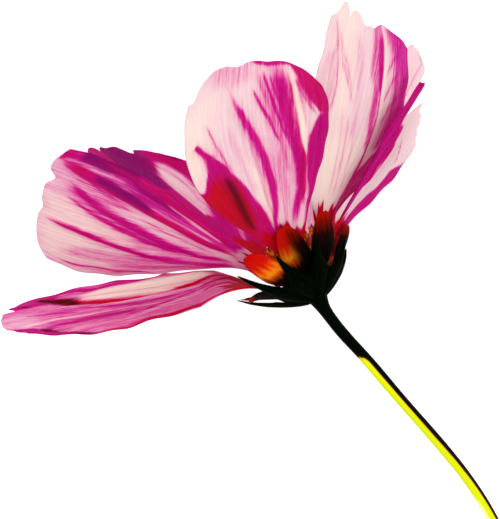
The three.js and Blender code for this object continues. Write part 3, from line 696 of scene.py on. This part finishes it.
CREASES = {   # lines that a petal is creased along, and their depth in millimetres
    "petal_1": [(0.5, [(0.83, 0.77), (0.92, 0.62), (0.99, 0.45)]),
                (0.6, [(0.8, 0.92), (0.43, 0.76), (0.22, 0.57), (0.33, 0.42), (0.6, 0.2)]),
                (0.5, [(-0.55, 0.9), (-0.77, 0.83), (-0.93, 0.7), (-0.97, 0.5)])],
    "petal_2": [(0.4, [(0.26, 0.98), (0.3, 0.75), (0.59, 0.44), (0.84, 0.19)]),
                (0.45, [(-0.81, 1.0), (-0.6, 0.75), (-0.46, 0.49), (0.07, 0.2)]),
                (0.3, [(-0.46, 0.94), (-0.16, 0.68), (0.13, 0.47), (0.5, 0.23)])],
    "petal_3": [(0.5, [(0.74, 0.86), (0.49, 0.58), (0.51, 0.41), (0.85, 0.18)]),
                (0.4, [(0.42, 0.93), (0.04, 0.67), (-0.12, 0.44), (0.0, 0.22)]),
                (0.5, [(-0.46, 0.97), (-0.55, 0.76), (-0.68, 0.56), (-0.88, 0.3)])],
    "petal_4": [(0.3, [(0.91, 1.0), (0.66, 0.76), (0.62, 0.55)]),
                (0.5, [(-0.2, 1.0), (-0.28, 0.8), (-0.37, 0.58), (-0.53, 0.33)])],
    "petal_5": [(0.4, [(0.66, 0.96), (0.33, 0.7), (0.42, 0.45)]),
                (0.3, [(0.25, 0.82), (-0.28, 0.74), (-0.5, 0.44)])],
}
for crease_petal, crease_depth in (("petal_6", 0.3), ("petal_7", 0.3), ("petal_8", 0.4)):
    CREASES[crease_petal] = [(crease_depth, [(0.36 * side, 0.95), (0.3 * side, 0.5), (0.1 * side, 0.2)])
                             for side in (1, -1)]
CREASE_WIDTH = 0.9
CREASE_IN, CREASE_OUT = (0, 0.15), (0.85, 1)      # where along its line a crease deepens and fades
PLEAT_HEIGHT = 0.05
PLEATS = 16
PLEAT_SWAY, PLEAT_BENDS = 2, 5
RIPPLE_HEIGHT = 0.12
RIPPLE_LENGTH = 7.0
OPEN_SPAN = (0.15, 0.5)     # along a petal, where pleats and ripples grow to their full height
MARGIN_START, TIP_START = 0.7, 0.85
TIP_WAVES = (9, 23)


def petal_relief(name, petal, w, s):
    """Height of a petal's creases, pleats and wavy margin over its middle surface, in millimetres."""
    places = on_flat(petal, w, s)
    relief = np.zeros(len(w))
    for depth, line in CREASES[name]:
        points = np.array([on_flat(petal, np.array(a), np.array(b)) for a, b in line])
        distance, share = line_distance(places, points)
        fade = np.minimum(smooth(share, *CREASE_IN), 1 - smooth(share, *CREASE_OUT))
        relief -= depth * np.exp(-((distance / CREASE_WIDTH) ** 2)) * fade
    open_part, at_tip = smooth(s, *OPEN_SPAN), smooth(s, TIP_START, 1)
    sway = PLEAT_SWAY * np.sin(PLEAT_BENDS * s)
    relief += PLEAT_HEIGHT * np.cos(PLEATS * math.pi * w + sway) * open_part * (1 - at_tip)
    phase = petal["azimuth"]
    wave = np.sin(2 * math.pi * s * petal["length"] / RIPPLE_LENGTH + phase)
    relief += RIPPLE_HEIGHT * smooth(np.abs(w), MARGIN_START, 1) * wave * open_part
    return relief + RIPPLE_HEIGHT * at_tip * uneven(w, TIP_WAVES, (phase, 2 * phase))


def new_sheet(faces_across, faces_along):
    """A flat sheet to be bent into shape, with w from -1 to 1 across it and s from 0 to 1 along it."""
    bm = bmesh.new()
    bmesh.ops.create_grid(bm, x_segments=faces_across, y_segments=faces_along, size=1)
    flat = np.array([v.co for v in bm.verts])
    return bm, flat[:, 0], (flat[:, 1] + 1) / 2


def set_points(bm, points_mm):
    for vertex, point in zip(bm.verts, points_mm * MM):
        vertex.co = point


def finish_piece(bm, name, replaced, materials, fields=None, uv=None, uv_name=None):
    """Makes a bmesh an object that stands for its CAD node. fields are named values for each vertex."""
    mesh = bpy.data.meshes.new(name)
    bm.to_mesh(mesh)
    bm.free()
    for key, values in (fields or {}).items():
        attribute = mesh.attributes.new(key, "FLOAT", "POINT")
        attribute.data.foreach_set("value", np.asarray(values, np.float32))
    if uv is not None:
        layer = mesh.uv_layers.new(name=uv_name)
        corner = np.zeros(len(mesh.loops), np.int32)
        mesh.loops.foreach_get("vertex_index", corner)
        layer.data.foreach_set("uv", uv[corner].astype(np.float32).ravel())
    mesh.polygons.foreach_set("use_smooth", np.ones(len(mesh.polygons), bool))
    for material in materials:
        mesh.materials.append(material)
    piece = new_object(name, mesh)
    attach(piece, "root")
    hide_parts(replaced)
    return piece


def give_thickness(piece, thickness, edge_share, edge_fade):
    """A Solidify modifier that thins the sheet towards its edges. edge_fade is 0 at the edge and 1 inside."""
    group = piece.vertex_groups.new(name="thick")
    steps = np.round(mix(edge_share, 1, edge_fade), 1)
    for step in np.unique(steps):
        group.add(np.nonzero(steps == step)[0].tolist(), float(step), "REPLACE")
    solid = piece.modifiers.new("thickness", "SOLIDIFY")
    solid.thickness = thickness * MM
    solid.offset = 0
    solid.vertex_group = "thick"
    solid.use_even_offset = False


def petal_piece(name, shape):
    petal = {**PLAIN_PETAL, **shape}
    bm, w, s = new_sheet(*PETAL_FACES)
    tiny = 1e-3
    middle = petal_surface(petal, w, s)
    across_it = petal_surface(petal, w + tiny, s) - petal_surface(petal, w - tiny, s)
    along_it = petal_surface(petal, w, s + tiny) - petal_surface(petal, w, s - tiny)
    normal = np.cross(across_it, along_it)
    normal /= np.linalg.norm(normal, axis=1)[:, None]
    points = middle + normal * petal_relief(name, petal, w, s)[:, None]
    set_points(bm, rest_on_surface(points, PETAL_REST))
    values = paint(name, petal, w, s)
    fields = {"pigment": values[:, 0], "warmth": values[:, 1], "shade": values[:, 2]}
    # The azimuth moves the veins' noise, so that no two petals get the same.
    flat_mm = np.stack([w * FLAT_HALF + petal["azimuth"], s * petal["length"]], -1)
    piece = finish_piece(bm, name + "_blade", name, [petal_material], fields, flat_mm, "petal_mm")
    inside_edge = np.minimum(smooth(1 - np.abs(w), 0, THIN_EDGE[0]), smooth(1 - s, 0, THIN_EDGE[1]))
    give_thickness(piece, PETAL_THICKNESS, PETAL_EDGE, inside_edge)


for petal_name, petal_shape in PETALS.items():
    petal_piece(petal_name, petal_shape)


# ---- Bracts ----
BRACT_CUP_END = 0.45
OUTER_START, OUTER_BEND = (1.75, -4.1), (6.6, -2.1)
OUTER_CUP_RADIUS, OUTER_SHARE, OUTER_POINT = 6, 0.34, 0.06
INNER_START, INNER_BEND = (4.3, -1.7), (8, 0.6)
INNER_HALVES, INNER_TAPER = (0.85, 2.3), (0.93, 2.4)
OUTER_KEEL, OUTER_THICKNESS = 0.25, 0.35
INNER_KEEL, INNER_THICKNESS = 0.15, 0.2
OUTER_BRACTS = [   # azimuth, and the tip's radius and height
    (140, 11.4, 3.2), (103, 10.6, 2.3), (67, 10.3, 2.5), (30, 9, 0.6),
    (323, 9.4, 1.2), (280, 11.2, 3), (238, 12.3, 2.6), (194, 11, 2.1),
]
INNER_BRACTS = [   # the same, and how much light comes through on its two sides
    (167, 9.6, 0, (0, 0)), (120, 12.4, 4.4, (1, 1)), (88, 12.4, 5.2, (0, 0.75)), (54, 11.8, 4.8, (0, 0)),
    (12, 9.6, 2.6, (0, 0)), (301, 12.4, 4.2, (0.5, 0.5)), (259, 12, 4.8, (0.8, 0.8)), (214, 12, 2.6, (0, 0.2)),
]
BRACT_FACES = (12, 40)
BRACT_FLAT = (1.5, 12)      # half width and length of the flat strip that the ribs are laid out on
BRACT_THIN_EDGE = (0.3, 0.2)
BRACT_EDGE = 0.3            # share of the thickness at its edge
SIDE_CHANGE = (-0.3, 0.5)   # where across it one side's light gives way to the other's
KEEL_TURN, KEEL_DROP = 2.2, 0.4


def free_share(s):
    return np.clip((s - BRACT_CUP_END) / (1 - BRACT_CUP_END), 0, 1)


def outer_half(s, radius):
    return OUTER_SHARE * np.minimum(radius, OUTER_CUP_RADIUS) * mix(1, OUTER_POINT, free_share(s) ** 0.5)


def inner_half(s, radius):
    loss, power = INNER_TAPER
    return mix(*INNER_HALVES, smooth(s, 0, BRACT_CUP_END)) * np.sqrt(1 - loss * free_share(s) ** power)


def bract_piece(name, material, azimuth, start, bend, tip, half_width, keel, thickness, glow=(0, 0)):
    bm, w, s = new_sheet(*BRACT_FACES)
    start, bend, tip = (np.array(p, float) for p in (start, bend, tip))
    t = s[:, None]
    profile = (1 - t) ** 2 * start + 2 * t * (1 - t) * bend + t**2 * tip
    slope = 2 * (1 - t) * (bend - start) + 2 * t * (tip - bend)
    slope /= np.linalg.norm(slope, axis=1)[:, None]
    radius, height = profile[:, 0], profile[:, 1]
    half = half_width(s, radius)
    lift = keel * (np.cos(KEEL_TURN * w) - KEEL_DROP) * np.minimum(half, 1)
    radius_out = radius + lift * slope[:, 1]
    height_out = height - lift * slope[:, 0]
    set_points(bm, head_point(math.radians(azimuth) + w * half / radius, radius_out, height_out))
    flat_mm = np.stack([w * BRACT_FLAT[0] + azimuth, s * BRACT_FLAT[1]], -1)
    fields = {"along": s, "glow": mix(*glow, smooth(w, *SIDE_CHANGE))}
    piece = finish_piece(bm, name + "_leaf", name, [material], fields, flat_mm, "bract_mm")
    inside_edge = np.minimum(smooth(1 - np.abs(w), 0, BRACT_THIN_EDGE[0]), smooth(1 - s, 0, BRACT_THIN_EDGE[1]))
    give_thickness(piece, thickness, BRACT_EDGE, inside_edge)


for number, (azimuth, radius, height) in enumerate(OUTER_BRACTS, 1):
    bract_piece(f"outer_bract_{number}", outer_bract_material, azimuth, OUTER_START, OUTER_BEND,
                (radius, height), outer_half, OUTER_KEEL, OUTER_THICKNESS)
for number, (azimuth, radius, height, glow) in enumerate(INNER_BRACTS, 1):
    bract_piece(f"inner_bract_{number}", inner_bract_material, azimuth, INNER_START, INNER_BEND,
                (radius, height), inner_half, INNER_KEEL, INNER_THICKNESS, glow)


# ---- Receptacle: the cup that holds everything ----
JOINT_DEPTH = 4.4
RECEPTACLE_RADIUS = 3.7
RECEPTACLE_SIDES = 48
head_frame = Matrix.Identity(4)
for column, direction in enumerate((ACROSS, -UPPER, AXIS)):
    for row in range(3):
        head_frame[row][column] = direction[row]
head_frame.translation = Vector(HEAD) * MM
RECEPTACLE_OUTLINE = [
    (0, -4.35), (0.8, -4.35), (1.0, -4.1), (1.25, -3.7), (2.1, -3.2), (3.1, -2.7), (3.55, -1.9), (3.7, -1.0),
    (3.65, 0.2), (3.3, 0.9), (2.6, 1.25), (1.7, 1.5), (0.8, 1.65), (0, 1.7),
]


def spun(outline, steps):
    """A bmesh of an outline, in radius and height, turned about Z. Millimetres in, metres out."""
    bm = bmesh.new()
    verts = [bm.verts.new((r * MM, 0, h * MM)) for r, h in outline]
    edges = [bm.edges.new(pair) for pair in zip(verts[:-1], verts[1:])]
    bmesh.ops.spin(bm, geom=verts + edges, cent=(0, 0, 0), axis=(0, 0, 1), dvec=(0, 0, 0), angle=2 * math.pi,
                   steps=steps, use_merge=True, use_duplicate=False)
    bmesh.ops.remove_doubles(bm, verts=bm.verts, dist=1e-6)
    bmesh.ops.recalc_face_normals(bm, faces=bm.faces)
    return bm


cup = spun(RECEPTACLE_OUTLINE, RECEPTACLE_SIDES)
cup.transform(head_frame)
finish_piece(cup, "receptacle_cup", "receptacle", [receptacle_material])


# ---- Disc florets ----
FLORET_COUNT = 30
FLORET_SPACING = 0.64
FLORET_HEIGHTS = (3.6, 5.2)
FLORET_TILT = 26
RECEPTACLE_DOME, DOME_DROP, FIT_GAP = 1.7, 0.9, 0.3
FLORET_RADIUS = 0.52
OPENING = (0.2, 0.7)
GOLDEN_ANGLE = math.pi * (3 - math.sqrt(5))
TUBE_OUTLINE = [(0, 0), (0.5, 0), (0.55, 0.12), (0.42, 0.3), (0.5, 0.5), (0.72, 0.66), (0.78, 0.72)]
ANTHER_OUTLINE = [(0, 0.5), (0.3, 0.5), (0.36, 0.6), (0.36, 0.88), (0.2, 0.93), (0, 0.93)]
LOBE_COUNT = 5
LOBE_RIM, LOBE_RISE, LOBE_SPREAD = 0.06, 0.12, 0.4
COROLLA_THICKNESS = 0.05
ANTHER_SIDES = 10
POLLEN_SHARE, POLLEN_PLACE = 0.26, 0.95      # of the floret's radius and height
POLLEN_LUMPS, LUMP_SHARE = 27000, 0.25


def floret_piece(number, openness, placement, height):
    """A tube with five pointed lobes, a dark column of anthers in it, and pollen on top."""
    outline = [(r * FLORET_RADIUS, h * height) for r, h in TUBE_OUTLINE]
    bm = spun(outline, 4 * LOBE_COUNT)
    rim = max(v.co.z for v in bm.verts)
    rim_edges = [e for e in bm.edges if all(abs(v.co.z - rim) < 1e-7 for v in e.verts)]
    grown = bmesh.ops.extrude_edge_only(bm, edges=rim_edges)
    for vertex in (v for v in grown["geom"] if isinstance(v, bmesh.types.BMVert)):
        turn = math.atan2(vertex.co.y, vertex.co.x)
        point = abs(math.cos(LOBE_COUNT * turn / 2))
        vertex.co.z += (LOBE_RIM + LOBE_RISE * point * openness) * height * MM
        reach = 1 + LOBE_SPREAD * point * openness
        vertex.co.x *= reach
        vertex.co.y *= reach
    bmesh.ops.recalc_face_normals(bm, faces=bm.faces)
    bmesh.ops.solidify(bm, geom=bm.faces, thickness=COROLLA_THICKNESS * MM)
    column = spun([(r * FLORET_RADIUS, h * height) for r, h in ANTHER_OUTLINE], ANTHER_SIDES)
    for face in column.faces:
        face.material_index = 1
    add_mesh(bm, column)
    pollen = bmesh.new()
    bmesh.ops.create_icosphere(pollen, subdivisions=2, radius=POLLEN_SHARE * FLORET_RADIUS * MM)
    for vertex in pollen.verts:
        lump = math.sin(POLLEN_LUMPS * vertex.co.x + number) * math.cos(POLLEN_LUMPS * vertex.co.y)
        vertex.co *= 1 + LUMP_SHARE * lump
    bmesh.ops.translate(pollen, verts=pollen.verts, vec=(0, 0, POLLEN_PLACE * height * MM))
    for face in pollen.faces:
        face.material_index = 2
    add_mesh(bm, pollen)
    bm.transform(placement)
    name = f"disc_floret_{number:02d}"
    finish_piece(bm, name + "_bloom", name, [corolla_material, anther_material, pollen_material])


def add_mesh(bm, other):
    """Adds another bmesh's faces to this one, with their materials."""
    mesh = bpy.data.meshes.new("joined")
    other.to_mesh(mesh)
    other.free()
    bm.from_mesh(mesh)
    bpy.data.meshes.remove(mesh)


for n in range(FLORET_COUNT):
    radius = FLORET_SPACING * math.sqrt(n + 0.5)
    turn = n * GOLDEN_ANGLE
    base = RECEPTACLE_DOME - DOME_DROP * (radius / RECEPTACLE_RADIUS) ** 2 + FIT_GAP
    spot = Matrix.Translation(Vector((radius * math.cos(turn), radius * math.sin(turn), base)) * MM)
    tilt = math.radians(FLORET_TILT) * radius / RECEPTACLE_RADIUS
    lean = Matrix.Rotation(turn, 4, "Z") @ Matrix.Rotation(tilt, 4, "Y")
    age = n / FLORET_COUNT      # the outer florets are the oldest and the widest open
    floret_piece(n + 1, smooth(age, *OPENING), head_frame @ spot @ lean, mix(*FLORET_HEIGHTS, age))


# ---- Stem ----
STEM_RADIUS = 0.85
STEM_START = -JOINT_DEPTH + 0.2
STEM_ROUTE = [tuple(AXIS * h) for h in (STEM_START, STEM_START - 2)] + [
    (5.4, -8.4, 0.5), (9.5, -12.9, -1.2), (14.3, -18.5, -4.5), (21, -26.1, -10.5), (25.8, -32, -16),
    (29.7, -38, -20.8), (33.6, -45.5, -25.4), (38, -54, -28.3), (43.5, -63, STEM_RADIUS - 30),
]
STEM_RINGS, STEM_SIDES = 240, 32
STEM_RIBS, UNEVEN_WAVES, TAPER_START = 8, 40, 0.8
RIB_DEPTH, UNEVENNESS, END_TAPER = 0.035, 0.02, 0.06      # shares of the radius
STEM_INSET = 0.03                     # keeps the ribs inside the CAD stem
NECK_LENGTH, NECK_SWELL = 1.3, 0.9    # the stem widens into the cup
# Painted light and shade on the stalk: the side painted in shadow, and where the lit side and its pale painted
# highlight start.
SHADED_SIDE = np.array([0.77, 0.64, 0])
SHADE_FROM, SHADE_SHRINKS, SHADE_EDGE = (0.1, 0.5), (0.3, 0.8), (0.4, 0.55)
LIT_START, LIT_SLANT = (0.27, 0.305), 0.012     # along the stem
HIGHLIGHT_START, HIGHLIGHT_SIDE = (0.57, 0.7), (-0.8, -0.1)
GREEN_LEVEL = 0.8                     # of lit, and the palest place has 1


def smooth_line(points, count):
    """Points along a centripetal Catmull-Rom curve through the given ones."""
    points = np.array(points, float)
    ends = [2 * points[0] - points[1], *points, 2 * points[-1] - points[-2]]
    made = []
    for place in np.linspace(0, len(points) - 1 - 1e-9, count):
        i, t = int(place), place - int(place)
        p0, p1, p2, p3 = ends[i:i + 4]
        k1, k2, k3 = (max(np.linalg.norm(b - a), 1e-6) ** 0.5 for a, b in ((p0, p1), (p1, p2), (p2, p3)))
        m1 = (p1 - p0) / k1 - (p2 - p0) / (k1 + k2) + (p2 - p1) / k2
        m2 = (p2 - p1) / k2 - (p3 - p1) / (k2 + k3) + (p3 - p2) / k3
        m1, m2 = m1 * k2, m2 * k2
        made.append((2 * t**3 - 3 * t**2 + 1) * p1 + (t**3 - 2 * t**2 + t) * m1
                    + (-2 * t**3 + 3 * t**2) * p2 + (t**3 - t**2) * m2)
    return np.array(made)


def stem_piece():
    line = HEAD + smooth_line(STEM_ROUTE, STEM_RINGS)
    ahead = np.gradient(line, axis=0)
    ahead /= np.linalg.norm(ahead, axis=1)[:, None]
    side = np.cross(ahead, (0, 0, 1))
    side /= np.linalg.norm(side, axis=1)[:, None]
    top = np.cross(side, ahead)
    bm, w, s = new_sheet(STEM_SIDES, STEM_RINGS - 1)
    turn = math.pi * w
    ring = np.rint(s * (STEM_RINGS - 1)).astype(int)
    share = ring / (STEM_RINGS - 1)
    length = np.concatenate([[0], np.cumsum(np.linalg.norm(np.diff(line, axis=0), axis=1))])
    swell = NECK_SWELL * np.exp(-length[ring] / NECK_LENGTH) - END_TAPER * smooth(share, TAPER_START, 1)
    ribs = RIB_DEPTH * np.cos(STEM_RIBS * turn) + UNEVENNESS * np.sin(UNEVEN_WAVES * share)
    radius = (STEM_RADIUS - STEM_INSET) * (1 + swell + ribs)
    out = np.cos(turn)[:, None] * side[ring] + np.sin(turn)[:, None] * top[ring]
    points = line[ring] + radius[:, None] * out
    set_points(bm, points)
    # Painted shade: by the bloom it is dark all round. Further on, a painted shadow stays on one side, less and
    # less;
    # the other side is painted lit, palest where a painted highlight runs.
    facing = (points - line[ring]) @ SHADED_SIDE / STEM_RADIUS
    shade_from = mix(*SHADE_FROM, smooth(share, *SHADE_SHRINKS))
    dark = smooth(facing, shade_from - SHADE_EDGE[0], shade_from + SHADE_EDGE[1])
    pale = smooth(share, *HIGHLIGHT_START) * (1 - smooth(facing, *HIGHLIGHT_SIDE))
    lit = smooth(share - LIT_SLANT * facing, *LIT_START) * (1 - dark) * mix(GREEN_LEVEL, 1, pale)
    layer = bm.verts.layers.float.new("lit")
    wide = bm.loops.layers.uv.new("stem_mm")
    for vertex, value in zip(bm.verts, lit):
        vertex[layer] = value
    bm.verts.index_update()
    for face in bm.faces:
        for loop in face.loops:
            i = loop.vert.index
            loop[wide].uv = (turn[i] * STEM_RADIUS, length[ring[i]])
    bmesh.ops.remove_doubles(bm, verts=bm.verts, dist=1e-6)
    bmesh.ops.holes_fill(bm, edges=[e for e in bm.edges if e.is_boundary], sides=STEM_SIDES)
    bmesh.ops.recalc_face_normals(bm, faces=bm.faces)
    finish_piece(bm, "stem_stalk", "stem", [stem_material])


stem_piece()
